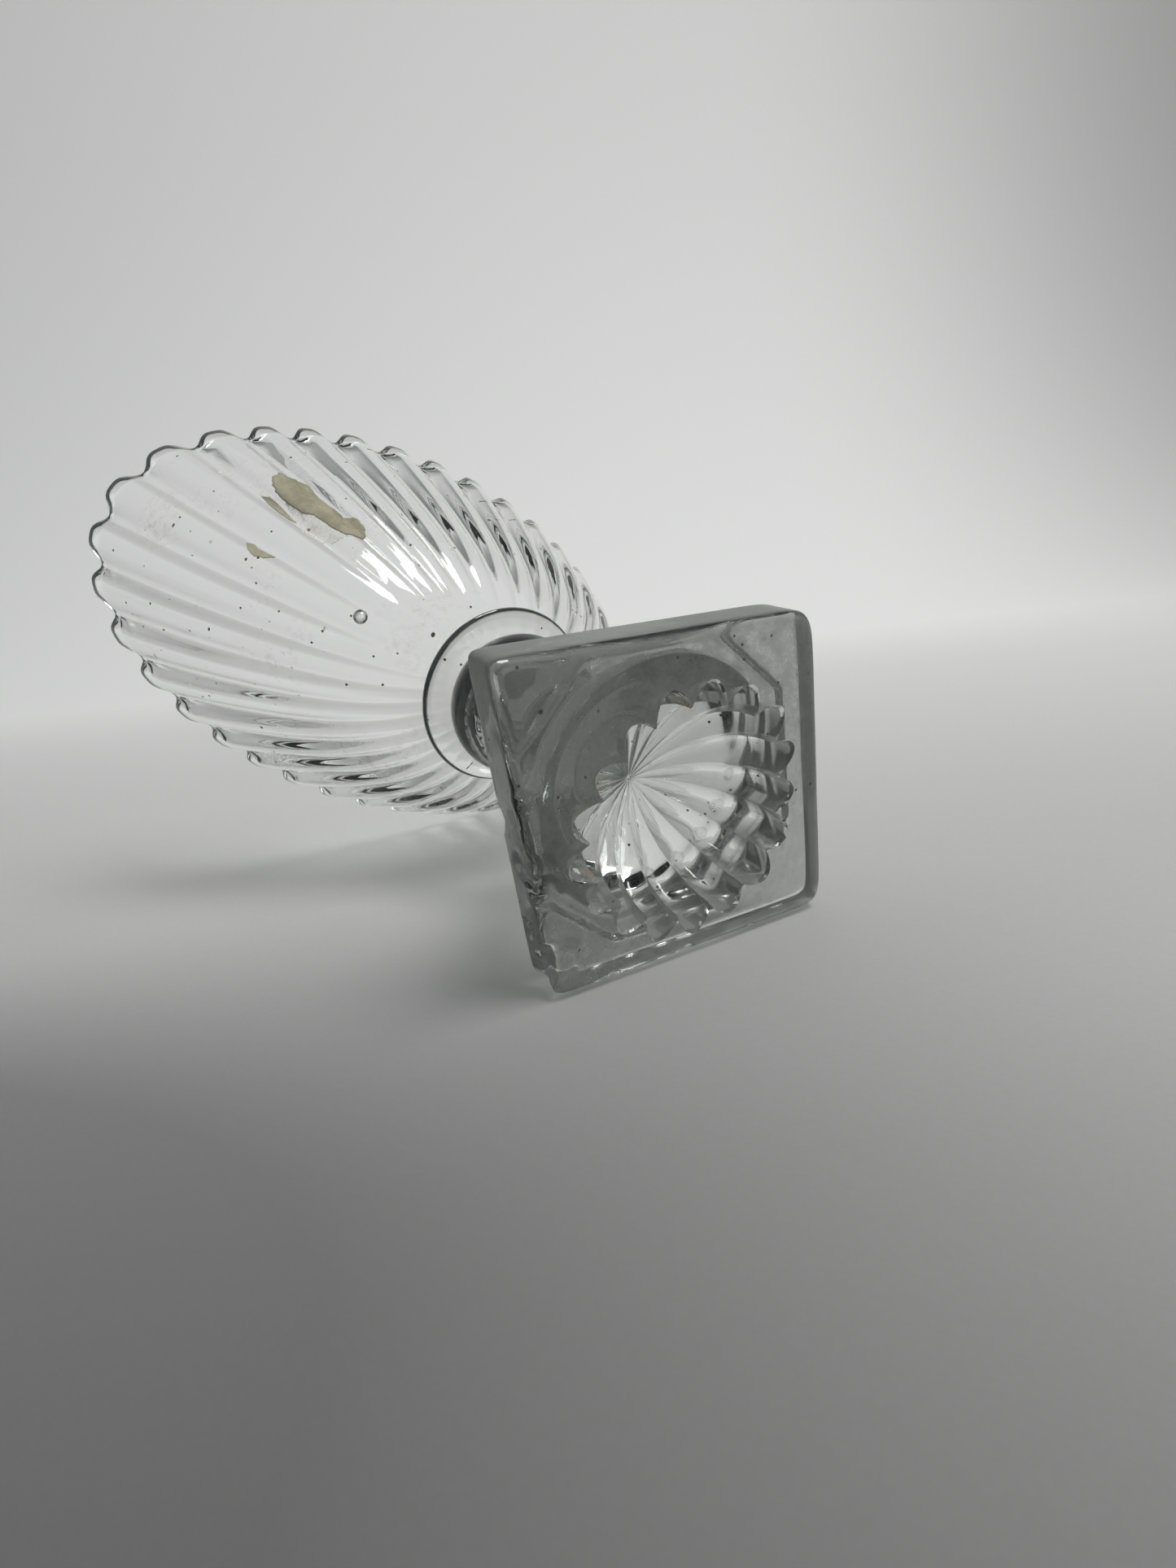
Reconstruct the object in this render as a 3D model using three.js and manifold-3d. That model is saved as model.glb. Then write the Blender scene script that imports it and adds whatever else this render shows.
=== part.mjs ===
// Footed glass salt: a ribbed, boat-shaped bowl on a collar, a knop and a lozenge foot.
//
// The foot is one pressed block: a flat lozenge plinth, an eight-sided step and a dome, with
// a fluted "lemon squeezer" hollow under it. A knop of glass stands on the dome, a thin round
// collar (merese) on the knop, and the mould-blown bowl on the collar. Three scraps of an old
// paper label are left on the outside of the bowl.
// Units are millimetres, +Z is up, and the origin is the middle of the foot's underside.
import * as THREE from 'three';
import { mergeVertices } from 'three/addons/utils/BufferGeometryUtils.js';
import Module from 'manifold-3d';

// ---- driving dimensions -------------------------------------------------------------------

// Foot: X runs along the long diagonal of the lozenge, Y along the short one.
const footHalfLength = 31;
const footHalfWidth = 26;
const plinthThickness = 6.2;
const plinthCornerRadius = 2.6;
const plinthEdgeBevel = 0.7;
const stepInset = 2.6;
const stepHeight = 2.2;
const stepCantLength = 19.5; // half length left after the two sharp ends are cut square
const stepCantWidth = 17.6; // half width left after the two blunt corners are cut square
const domeBaseRadius = 15.6;
const domeHeight = 13.6;
const domeTopRadius = 6.6;
const neckHeight = 4.2;

// Hollow under the foot.
const hollowRadius = 14.8;
const hollowDepth = 12;
const hollowOffsetX = 2; // the plunger that pressed it stood a little off the middle
const hollowOffsetY = 0.7;
const fluteCount = 17;
const fluteRidge = 1.5; // how far the ridges between the flutes stand in at the mouth

// Knop and collar.
const knopHeight = 15.7;
const knopFootRadius = 7.2;
const knopWaistRadius = 6.3;
const knopRadius = 10;
const knopTopRadius = 8.8;
const collarRadius = 12.8;
const collarThickness = 1.8;
const collarEdgeThickness = 0.6;

// Bowl: half sizes of its oval outline, measured over the ribs at the rim.
const bowlHalfLength = 50.2;
const bowlHalfWidth = 29.6;
const bowlHeight = 36.8; // mean height of the rim over the collar
const rimRise = 3.3; // the two ends stand this much over the mean, the sides as much under
const bowlTurn = THREE.MathUtils.degToRad(-10.7); // the bowl was set on slightly turned
const bowlLean = 0.6; // and its rim leans this far towards +Y
const seatHalfLength = 10.2; // half sizes of the flat that the bowl stands on
const seatHalfWidth = 6;
const outerPower = 2.08; // 2 is a parabola, more is flatter at the bottom
const innerPower = 2.3;
const rimWall = 2;
const floorThickness = 4.6;
const ribCount = 35;
const ribDepth = 1.6; // crest to groove, at the rim
const innerRibShare = 0.5; // the inside follows the ribs only this much
const endRibSpread = 0.22; // ribs are this much wider round the two ends

// Label scraps on the outside of the bowl.
const paperThickness = 0.2;
const seatGap = 0.3; // clearance of a scrap from the faceted bowl

// Fineness of the facets.
const samplesPerRib = 4;
const bowlLevels = 10;
const turnedSegments = 40;
const samplesPerFlute = 4;
const hollowLevels = 8;

// ---- heights of the stack, each from the piece under it -------------------------------------

const stepTop = plinthThickness + stepHeight;
const domeTop = stepTop + domeHeight;
const footTop = domeTop + neckHeight;
const knopTop = footTop + knopHeight;
const bowlSeat = knopTop + collarThickness;

// ---- materials --------------------------------------------------------------------------------

const glass = (name, color) =>
  new THREE.MeshStandardMaterial({ name, color, roughness: 0.05, metalness: 0 });
const bowlGlass = glass('blown glass', 0xd9dedb);
const pressedGlass = glass('pressed glass', 0xb4bab8);
const labelPaper = new THREE.MeshStandardMaterial({
  name: 'aged paper', color: 0xada993, roughness: 0.9, metalness: 0,
});

// ---- helpers ------------------------------------------------------------------------------------

// A closed mesh from rings of points. Ring k is joined to ring k + 1, and the first and the
// last ring are each closed by a fan to a point of their own.
function ringSolid(rings, firstPole, lastPole) {
  const count = rings[0].length;
  const points = [...rings.flat(), firstPole, lastPole];
  const index = [];
  for (let k = 0; k + 1 < rings.length; k += 1) {
    for (let i = 0; i < count; i += 1) {
      const next = (i + 1) % count;
      const a = k * count + i;
      const b = k * count + next;
      index.push(a, b, b + count, a, b + count, a + count);
    }
  }
  const lastRing = (rings.length - 1) * count;
  const poleA = rings.length * count;
  for (let i = 0; i < count; i += 1) {
    const next = (i + 1) % count;
    index.push(poleA, next, i, poleA + 1, lastRing + i, lastRing + next);
  }
  const geometry = new THREE.BufferGeometry();
  geometry.setAttribute('position', new THREE.Float32BufferAttribute(points.flat(), 3));
  geometry.setIndex(index);
  return geometry;
}

const wasm = await Module();
wasm.setup();

function toManifold(geometry) {
  const bare = geometry.clone();
  bare.deleteAttribute('normal');
  bare.deleteAttribute('uv');
  const merged = mergeVertices(bare, 1e-4);
  return new wasm.Manifold(new wasm.Mesh({
    numProp: 3,
    vertProperties: new Float32Array(merged.attributes.position.array),
    triVerts: new Uint32Array(merged.index.array),
  }));
}

function toGeometry(manifold) {
  const mesh = manifold.getMesh();
  const geometry = new THREE.BufferGeometry();
  geometry.setAttribute('position', new THREE.Float32BufferAttribute(mesh.vertProperties, 3));
  geometry.setIndex(new THREE.BufferAttribute(new Uint32Array(mesh.triVerts), 1));
  return geometry;
}

// A solid turned round Z: the outline is a list of [radius, height] from the axis to the axis.
function turned(outline) {
  const points = outline.map(([radius, height]) => new THREE.Vector2(radius, height));
  const geometry = new THREE.LatheGeometry(points, turnedSegments);
  return geometry.rotateX(Math.PI / 2);
}

// Points of a smooth curve through [radius, height] pairs, both ends included.
function smooth(pairs, steps) {
  const curve = new THREE.SplineCurve(pairs.map(([radius, height]) => new THREE.Vector2(radius, height)));
  return curve.getPoints(steps).map((point) => [point.x, point.y]);
}

function node(name, geometry, material) {
  const mesh = new THREE.Mesh(geometry, material);
  mesh.name = name;
  return mesh;
}

// ---- foot ---------------------------------------------------------------------------------------

// Corners of the lozenge after its sides move in by an inset. The half diagonals shrink in the
// ratio of the side's new distance from the middle to its old one.
function lozenge(inset) {
  const sideDistance = (footHalfLength * footHalfWidth) / Math.hypot(footHalfLength, footHalfWidth);
  const share = 1 - inset / sideDistance;
  return [footHalfLength * share, footHalfWidth * share];
}

// Lozenge outline with round corners: each corner is a curve between two points of its sides.
function plinthShape(inset) {
  const [halfLength, halfWidth] = lozenge(inset);
  const corners = [[halfLength, 0], [0, halfWidth], [-halfLength, 0], [0, -halfWidth]]
    .map(([x, y]) => new THREE.Vector2(x, y));
  const shape = new THREE.Shape();
  corners.forEach((corner, i) => {
    const before = corners[(i + 3) % 4];
    const after = corners[(i + 1) % 4];
    const start = corner.clone().add(before.clone().sub(corner).setLength(plinthCornerRadius));
    const end = corner.clone().add(after.clone().sub(corner).setLength(plinthCornerRadius));
    if (i === 0) shape.moveTo(start.x, start.y);
    else shape.lineTo(start.x, start.y);
    shape.quadraticCurveTo(corner.x, corner.y, end.x, end.y);
  });
  shape.closePath();
  return shape;
}

function plinth() {
  return new THREE.ExtrudeGeometry(plinthShape(plinthEdgeBevel), {
    depth: plinthThickness - 2 * plinthEdgeBevel,
    bevelEnabled: true,
    bevelThickness: plinthEdgeBevel,
    bevelSize: plinthEdgeBevel,
    bevelSegments: 2,
    curveSegments: 5,
  }).translate(0, 0, plinthEdgeBevel);
}

// The step is the inset lozenge with all four corners cut square.
function step() {
  const [halfLength, halfWidth] = lozenge(stepInset);
  const endHalf = halfWidth * (1 - stepCantLength / halfLength);
  const sideHalf = halfLength * (1 - stepCantWidth / halfWidth);
  const quarter = [[stepCantLength, endHalf], [sideHalf, stepCantWidth]];
  const outline = [
    ...quarter,
    ...quarter.map(([x, y]) => [-x, y]).reverse(),
    ...quarter.map(([x, y]) => [-x, -y]),
    ...quarter.map(([x, y]) => [x, -y]).reverse(),
  ].map(([x, y]) => new THREE.Vector2(x, y));
  const geometry = new THREE.ExtrudeGeometry(new THREE.Shape(outline), {
    depth: stepHeight + plinthThickness / 2, bevelEnabled: false,
  });
  return geometry.translate(0, 0, plinthThickness / 2);
}

function dome() {
  const rise = smooth([
    [domeBaseRadius, stepTop],
    [domeBaseRadius * 0.93, stepTop + domeHeight * 0.3],
    [domeBaseRadius * 0.7, stepTop + domeHeight * 0.68],
    [domeTopRadius, domeTop],
    [knopWaistRadius, domeTop + neckHeight * 0.5],
    [knopFootRadius, footTop],
  ], 16);
  return turned([[0, plinthThickness / 2], [domeBaseRadius, plinthThickness / 2], ...rise, [0, footTop]]);
}

// The hollow is a dome whose wall swings between flutes and ridges. Its mouth goes on below the
// underside by the same height again, so that the cut is clean.
function hollow() {
  const count = fluteCount * samplesPerFlute;
  const ringAt = (radius, ridge, height) => Array.from({ length: count }, (_, i) => {
    const angle = (2 * Math.PI * i) / count;
    const ridgeShape = (0.5 + 0.5 * Math.cos(angle * fluteCount)) ** 2;
    const r = radius - ridge * ridgeShape;
    return [r * Math.cos(angle), r * Math.sin(angle), height];
  });
  const rings = [ringAt(hollowRadius, fluteRidge, -plinthEdgeBevel)];
  for (let k = 0; k < hollowLevels; k += 1) {
    const turn = (Math.PI / 2) * (k / hollowLevels);
    const radius = hollowRadius * Math.cos(turn);
    rings.push(ringAt(radius, fluteRidge * Math.cos(turn), hollowDepth * Math.sin(turn)));
  }
  const cut = ringSolid(rings, [0, 0, -plinthEdgeBevel], [0, 0, hollowDepth]);
  return cut.translate(hollowOffsetX, hollowOffsetY, 0);
}

function foot() {
  const block = toManifold(plinth()).add(toManifold(step())).add(toManifold(dome()));
  return toGeometry(block.subtract(toManifold(hollow())));
}

// ---- knop and collar ------------------------------------------------------------------------------

function knop() {
  const side = smooth([
    [knopFootRadius, footTop],
    [knopWaistRadius, footTop + knopHeight * 0.2],
    [knopRadius * 0.9, footTop + knopHeight * 0.55],
    [knopRadius, footTop + knopHeight * 0.78],
    [knopTopRadius, knopTop],
  ], 14);
  return turned([[0, footTop], ...side, [0, knopTop]]);
}

function collar() {
  const middle = knopTop + collarThickness / 2;
  const half = collarEdgeThickness / 2;
  return turned([
    [0, knopTop],
    [knopTopRadius, knopTop],
    [collarRadius - half, middle - half],
    [collarRadius, middle],
    [collarRadius - half, middle + half],
    [seatHalfLength, bowlSeat],
    [0, bowlSeat],
  ]);
}

// ---- bowl -------------------------------------------------------------------------------------------

// Oval angle for each share of the way round, so that the ribs are evenly wide along the rim and
// a little wider round the two ends. The count starts in the groove at the middle of the -X end.
const ovalAngles = (() => {
  const parts = 3600;
  const travelled = [0];
  for (let i = 0; i < parts; i += 1) {
    const angle = Math.PI + (2 * Math.PI * (i + 0.5)) / parts;
    const speed = Math.hypot(bowlHalfLength * Math.sin(angle), bowlHalfWidth * Math.cos(angle));
    travelled.push(travelled[i] + speed / (1 + endRibSpread * Math.cos(angle) ** 8));
  }
  const samples = ribCount * samplesPerRib;
  const angles = [];
  let at = 0;
  for (let k = 0; k < samples; k += 1) {
    const target = (travelled[parts] * k) / samples;
    while (travelled[at + 1] < target) at += 1;
    const within = (target - travelled[at]) / (travelled[at + 1] - travelled[at]);
    angles.push(Math.PI + (2 * Math.PI * (at + within)) / parts);
  }
  return angles;
})();

// 1 in a groove, 0 on a crest: the lobes are broad and the grooves between them narrow.
const grooveAt = (k) => (0.5 + 0.5 * Math.cos((2 * Math.PI * k) / samplesPerRib)) ** 1.6;

// Ring of the bowl at a level between 0 (seat) and 1 (rim), moved in by an inset all round.
function bowlRing({ halfLength, halfWidth, level, height, inset, ribs }) {
  return ovalAngles.map((angle, k) => {
    const sink = inset + ribs * grooveAt(k);
    const x = (halfLength - sink) * Math.cos(angle);
    const y = (halfWidth - sink) * Math.sin(angle);
    const rise = rimRise * Math.cos(2 * angle) * level ** 2;
    return [x, y + bowlLean * level, height + rise];
  });
}

// Outside at a level, standing off it by a distance (0 is the bowl's own surface).
function outerRing(level, standOff = 0) {
  return bowlRing({
    halfLength: THREE.MathUtils.lerp(seatHalfLength, bowlHalfLength, level),
    halfWidth: THREE.MathUtils.lerp(seatHalfWidth, bowlHalfWidth, level),
    level,
    height: bowlSeat + bowlHeight * level ** outerPower,
    inset: -standOff,
    ribs: ribDepth * level,
  });
}

function innerRing(level) {
  const depth = bowlHeight - floorThickness;
  return bowlRing({
    halfLength: bowlHalfLength * level,
    halfWidth: bowlHalfWidth * level,
    level,
    height: bowlSeat + floorThickness + depth * level ** innerPower,
    inset: rimWall * level,
    ribs: ribDepth * innerRibShare * level,
  });
}

function bowl() {
  const levels = Array.from({ length: bowlLevels + 1 }, (_, k) => k / bowlLevels);
  const outside = levels.map((level) => outerRing(level));
  const inside = levels.slice(1).reverse().map((level) => innerRing(level));
  return ringSolid([...outside, ...inside], [0, 0, bowlSeat], [0, 0, bowlSeat + floorThickness]);
}

// ---- label scraps -------------------------------------------------------------------------------------

// A scrap covers whole facets of the bowl: from one level to another, and between two samples
// round the bowl.
function scrap({ fromLevel, toLevel, fromSample, toSample }) {
  const under = [];
  const over = [];
  for (let k = fromLevel; k <= toLevel; k += 1) {
    const inner = outerRing(k / bowlLevels, seatGap);
    const outer = outerRing(k / bowlLevels, seatGap + paperThickness);
    under.push(inner.slice(fromSample, toSample + 1));
    over.push(outer.slice(fromSample, toSample + 1));
  }
  const rings = under.map((row, k) => [...row, ...over[k].slice().reverse()]);
  const columns = toSample - fromSample;
  const points = rings.flat();
  const size = rings[0].length;
  const index = [];
  for (let k = 0; k + 1 < rings.length; k += 1) {
    for (let i = 0; i < size; i += 1) {
      const a = k * size + i;
      const b = k * size + ((i + 1) % size);
      index.push(a, b + size, b, a, a + size, b + size);
    }
  }
  const last = (rings.length - 1) * size;
  for (let i = 0; i < columns; i += 1) {
    const back = size - 1 - i;
    index.push(i, i + 1, back - 1, i, back - 1, back);
    index.push(last + i, last + back - 1, last + i + 1, last + i, last + back, last + back - 1);
  }
  const geometry = new THREE.BufferGeometry();
  geometry.setAttribute('position', new THREE.Float32BufferAttribute(points.flat(), 3));
  geometry.setIndex(index);
  return geometry;
}

// Sample number nearest to an oval angle in degrees.
function sampleNear(degrees) {
  const target = THREE.MathUtils.degToRad(degrees);
  const away = ovalAngles.map((angle) => 1 - Math.cos(angle - target));
  return away.indexOf(Math.min(...away));
}

const scraps = [
  { name: 'label_scrap_large', fromLevel: 6, toLevel: 8, at: 217, width: 4 },
  { name: 'label_scrap_sliver', fromLevel: 7, toLevel: 8, at: 210, width: 1 },
  { name: 'label_scrap_small', fromLevel: 6, toLevel: 7, at: 191, width: 2 },
];

// ---- assembly -------------------------------------------------------------------------------------------

const salt = new THREE.Group();
salt.add(node('pressed_foot', foot(), pressedGlass));
salt.add(node('stem_knop', knop(), pressedGlass));
salt.add(node('collar', collar(), bowlGlass));

const bowlGroup = new THREE.Group();
bowlGroup.rotation.z = bowlTurn;
bowlGroup.add(node('bowl', bowl(), bowlGlass));
scraps.forEach(({ name, at, width, ...levels }) => {
  const fromSample = sampleNear(at);
  const geometry = scrap({ ...levels, fromSample, toSample: fromSample + width });
  bowlGroup.add(node(name, geometry, labelPaper));
});
salt.add(bowlGroup);

export default salt;
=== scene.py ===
# %% [markdown]
# # A footed glass salt, lying on its side
#
# The object is a small table salt of clear lead glass, about 80 mm high. An oval, boat-shaped
# bowl with ribs down its outside stands on a thin collar, a knop and a lozenge foot. The foot is
# pressed, with a fluted hollow under it that glassmakers call a lemon squeezer. Old paper, dust
# and chips are left on it from its long life. The salt lies tipped over on a pale table, on one
# edge of its foot and on its rim, so that its underside shows.
#
# Glass has almost no colour of its own. What the eye reads is the shape of two surfaces, outside
# and inside, bending whatever is behind them. So nearly all the work below goes into those
# surfaces, and into a pale room for them to bend.

# %% Load the measured model
import math

import bpy
import numpy as np
from mathutils import Matrix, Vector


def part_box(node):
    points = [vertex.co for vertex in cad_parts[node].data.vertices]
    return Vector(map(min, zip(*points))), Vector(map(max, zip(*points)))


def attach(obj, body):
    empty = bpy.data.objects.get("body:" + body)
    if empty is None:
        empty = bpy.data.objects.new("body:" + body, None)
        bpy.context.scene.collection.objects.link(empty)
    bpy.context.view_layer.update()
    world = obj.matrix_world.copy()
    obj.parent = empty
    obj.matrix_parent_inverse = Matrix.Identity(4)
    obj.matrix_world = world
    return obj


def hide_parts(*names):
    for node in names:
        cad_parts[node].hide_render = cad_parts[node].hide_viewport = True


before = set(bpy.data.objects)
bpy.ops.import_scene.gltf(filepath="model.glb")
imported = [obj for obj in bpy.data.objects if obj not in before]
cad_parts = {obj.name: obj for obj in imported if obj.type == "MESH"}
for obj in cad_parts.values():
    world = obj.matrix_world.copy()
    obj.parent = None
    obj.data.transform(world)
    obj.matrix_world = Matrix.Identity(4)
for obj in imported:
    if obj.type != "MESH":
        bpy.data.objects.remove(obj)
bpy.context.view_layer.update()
MM = 0.001

# %% [markdown]
# ## Sizes that the surfaces share
#
# Every height is read from the measured nodes, so a piece here sits where its node sits. The
# plan sizes are those of the glass itself, in millimetres.

# %% Heights and plan sizes
FOOT_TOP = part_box("pressed_foot")[1].z / MM
KNOP_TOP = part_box("stem_knop")[1].z / MM
BOWL_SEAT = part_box("collar")[1].z / MM
COLLAR_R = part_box("collar")[1].x / MM
KNOP_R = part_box("stem_knop")[1].x / MM
RIM_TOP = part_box("bowl")[1].z / MM

FOOT_HALF = (31.0, 26.0)      # half diagonals of the lozenge, to its sharp corners
PLINTH = 6.2                  # thickness of the flat lozenge
STEP_TOP = 8.4
DOME_R = 15.8
HOLLOW_R = 15.4
HOLLOW_DEPTH = 12.4
HOLLOW_CENTRE = (2.0, 0.7)
FLUTES = 17

BOWL_HALF = (50.2, 29.6)
SEAT_HALF = (10.2, 6.0)
RIM_RISE = 3.3                # ends of the rim stand this far over its mean, sides as far under
BOWL_HEIGHT = RIM_TOP - RIM_RISE - BOWL_SEAT
BOWL_TURN = math.radians(-10.7)
LEAN = 1.1                    # lean of the rim towards +Y
WALL = 2.4
FLOOR = 4.6
OVERLAP = 0.05                # pieces of glass run this far into each other, so no air film shows
print("stack, mm:", round(FOOT_TOP, 1), round(KNOP_TOP, 1), round(BOWL_SEAT, 1), round(RIM_TOP, 1))

# %% [markdown]
# ## From rings to a closed mesh
#
# All the glass can be made one way. A ring is a closed loop of points round the stem, and a
# piece is a stack of rings, with a pole at each end to close it. Numpy works out every ring at
# once, and the mesh takes the whole array in one call. That is quicker and steadier than
# building it face by face, and any ring can have any outline.

# %% Ring meshes
def ring_mesh(name, rings, poles):
    """Joins rings (levels, around, xyz) in millimetres with quads, and closes both ends with
    triangles to the two poles. A negative volume means that the faces point in, so they turn."""
    levels, around = rings.shape[:2]
    points = np.vstack([rings.reshape(-1, 3), np.array(poles, float)]) * MM
    i = np.arange(around)
    nxt = (i + 1) % around
    base = (np.arange(levels - 1) * around)[:, None]
    quads = np.stack([base + i, base + nxt, base + around + nxt, base + around + i], -1).reshape(-1, 4)
    last = (levels - 1) * around
    a, b = levels * around, levels * around + 1
    fans = np.vstack([np.stack([np.full(around, a), nxt, i], -1),
                      np.stack([np.full(around, b), last + i, last + nxt], -1)])
    tris = np.vstack([quads[:, [0, 1, 2]], quads[:, [0, 2, 3]], fans])
    volume = np.einsum("ij,ij->i", points[tris[:, 0]], np.cross(points[tris[:, 1]], points[tris[:, 2]])).sum()
    if volume < 0:
        quads, fans = quads[:, ::-1], fans[:, ::-1]
    mesh = bpy.data.meshes.new(name)
    mesh.from_pydata(points, [], quads.tolist() + fans.tolist())
    mesh.shade_smooth()
    made = bpy.data.objects.new(name, mesh)
    bpy.context.scene.collection.objects.link(made)
    print(f"{name}: {len(points)} points, {2 * len(quads) + len(fans)} triangles")
    return made


def attribute(made, name, values):
    """Stores one number per point on the mesh, for a material to read."""
    layer = made.data.attributes.new(name, "FLOAT", "POINT")
    layer.data.foreach_set("value", np.asarray(values, np.float32).ravel())


def blend(a, b, share):
    """The value a at share 0 and b at share 1, and in a straight line between them."""
    return a + (b - a) * share


def ease(x):
    """Goes from 0 to 1 as x does, starting and ending level: three x squared less two x cubed."""
    x = np.clip(x, 0, 1)
    return x * x * (3 - 2 * x)

# %% [markdown]
# ## The pressed foot
#
# The foot was pressed in one go: a flat lozenge, an eight-sided step and a dome, with a plunger
# pushed up from below. It could be cut from solids with booleans, but then every edge is
# knife-sharp, and pressed glass has soft edges everywhere. Here each outline is worked out from
# its straight sides with a high power in place of a hard limit, so its corners come out round:
# the higher the power, the sharper the corner. Two corners of this foot are rounder than the
# others, and the power says so.

# %% Outlines round the foot
AROUND = 680
turn = np.arange(AROUND) * 2 * np.pi / AROUND
unit = np.stack([np.cos(turn), np.sin(turn)], -1)


def polygon(sides, power):
    """Radius in every direction of a polygon given as (facing angle, distance) of its sides:
    one over the power-sum of how far each side lets the ray go."""
    total = sum((np.clip(np.cos(turn - facing), 0, None) / distance) ** power for facing, distance in sides)
    return total ** (-1 / power)


side_facing = math.atan2(FOOT_HALF[0], FOOT_HALF[1])
side_distance = FOOT_HALF[0] * FOOT_HALF[1] / math.hypot(*FOOT_HALF)
diagonals = [side_facing, math.pi - side_facing, math.pi + side_facing, -side_facing]
crispness = 24 + 12 * np.cos(turn - math.radians(135))


def lozenge(inset):
    """The foot's outline with its four sides moved in by an inset."""
    return polygon([(f, side_distance - inset) for f in diagonals], crispness)


def eight_sides(inset):
    """The step's outline: the lozenge moved in, with its four corners cut square."""
    cuts = [(0, 19.5), (math.pi, 19.5), (math.pi / 2, 17.6), (-math.pi / 2, 17.6)]
    sides = [(f, side_distance - 2.6 - inset) for f in diagonals]
    return polygon(sides + [(f, d - inset) for f, d in cuts], 90)


print("side of the lozenge is", round(side_distance, 2), "mm from the middle")

# %% [markdown]
# The hollow is a dome of air whose wall swings out in a round arch for each flute, and comes to
# a sharp ridge between two of them. Arches in a row are the size of a sine, without its sign.

# %% Rings of the foot, from the top of the hollow to the neck
def flat_ring(radius, height, centre=(0, 0)):
    """A ring at one height from a radius for each direction."""
    ring = np.empty((AROUND, 3))
    ring[:, :2] = unit * np.broadcast_to(radius, (AROUND,))[:, None] + np.array(centre)
    ring[:, 2] = height
    return ring


FLUTE_START = 0.13            # radians from +X to the first ridge
FLUTE_DEPTH = 2.7
MOUTH_FLARE = 1.025           # the hollow's edge opens out by this much as it meets the underside

arch = np.abs(np.sin(FLUTES * (turn + FLUTE_START) / 2)) ** 0.9
uneven = 1 + 0.03 * np.sin(turn * 3 + 1.0) + 0.02 * np.sin(turn * 5 + 2.0)
foot_rings, hollow_share = [], []
for rise in np.linspace(0.985, 0, 44):
    lift = rise * math.pi / 2
    reach = math.cos(lift) ** 0.92
    relief = FLUTE_DEPTH * reach ** 0.65 * (1 - arch)
    foot_rings.append(flat_ring((HOLLOW_R * reach) * uneven - relief,
                                HOLLOW_DEPTH * math.sin(lift) + 0.35, HOLLOW_CENTRE))
    hollow_share.append(1.0)
mouth = foot_rings[-1].copy()
mouth[:, :2] = np.array(HOLLOW_CENTRE) + (mouth[:, :2] - np.array(HOLLOW_CENTRE)) * MOUTH_FLARE
mouth[:, 2] = 0.0
foot_rings.append(mouth)
hollow_share.append(0.5)


def between(a, b, steps):
    """Rings in straight lines from ring a, left out, to ring b: each is a plus a share of the
    way to b."""
    return [blend(a, b, t) for t in np.linspace(0, 1, steps + 1)[1:]]


def rounded(inset_from, inset_to, z_from, z_to, steps, shape):
    """Rings round a quarter-circle edge: the inset goes as the sine of the turn, and the height
    as one less its cosine."""
    rings = []
    for t in np.linspace(0, 1, steps + 1):
        a = t * math.pi / 2
        rings.append(flat_ring(shape(blend(inset_from, inset_to, math.sin(a))),
                               blend(z_from, z_to, 1 - math.cos(a))))
    return rings


EDGE_BELOW = (1.3, 1.1)       # the lower edge of the plinth is rounded in by this, and up by this
DRAFT = 0.25                  # the plinth's sides come in by this, so that it left the mould
EDGE_ABOVE = (0.8, 0.9)

foot_rings += between(mouth, flat_ring(lozenge(EDGE_BELOW[0]), 0.0), 9)
foot_rings += rounded(EDGE_BELOW[0], 0.0, 0.0, EDGE_BELOW[1], 5, lozenge)[1:]
foot_rings += between(foot_rings[-1], flat_ring(lozenge(DRAFT), PLINTH - EDGE_ABOVE[1]), 7)
foot_rings += [flat_ring(lozenge(DRAFT + EDGE_ABOVE[0] * (1 - math.cos(a))),
                         PLINTH - EDGE_ABOVE[1] * (1 - math.sin(a)))
               for a in np.linspace(0, math.pi / 2, 6)[1:]]
foot_rings += between(foot_rings[-1], flat_ring(eight_sides(-0.5), PLINTH), 6)
foot_rings += [flat_ring(eight_sides(inset), height) for inset, height in
               ((-0.2, PLINTH + 0.15), (0.0, PLINTH + 0.5), (0.15, STEP_TOP - 0.5),
                (0.3, STEP_TOP - 0.15), (0.7, STEP_TOP))]
foot_rings += between(foot_rings[-1], flat_ring(DOME_R + 0.6, STEP_TOP), 5)
dome_profile = np.array([(DOME_R + 0.1, STEP_TOP + 0.2), (DOME_R - 0.2, STEP_TOP + 1.0),
                         (14.9, STEP_TOP + 4.0), (11.6, STEP_TOP + 9.2), (8.4, STEP_TOP + 12.2),
                         (6.8, STEP_TOP + 13.6), (6.3, STEP_TOP + 15.4),
                         (6.7, FOOT_TOP - 0.6), (7.2, FOOT_TOP + OVERLAP)])


def smooth_profile(points, steps):
    """A curve through radius-height pairs: at each stretch, the Catmull-Rom mix of the four
    nearest pairs."""
    p = np.vstack([2 * points[0] - points[1], points, 2 * points[-1] - points[-2]])
    t = np.linspace(0, len(points) - 1 - 1e-9, steps)
    k = t.astype(int)
    f = (t - k)[:, None]
    a, b, c, d = p[k], p[k + 1], p[k + 2], p[k + 3]
    return 0.5 * (2 * b + (c - a) * f + (2 * a - 5 * b + 4 * c - d) * f ** 2
                  + (3 * b - a - 3 * c + d) * f ** 3)


foot_rings += [flat_ring(r, z) for r, z in smooth_profile(dome_profile, 34)]
foot_rings = np.array(foot_rings)
print("foot:", len(foot_rings), "rings of", AROUND, "points")

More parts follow.
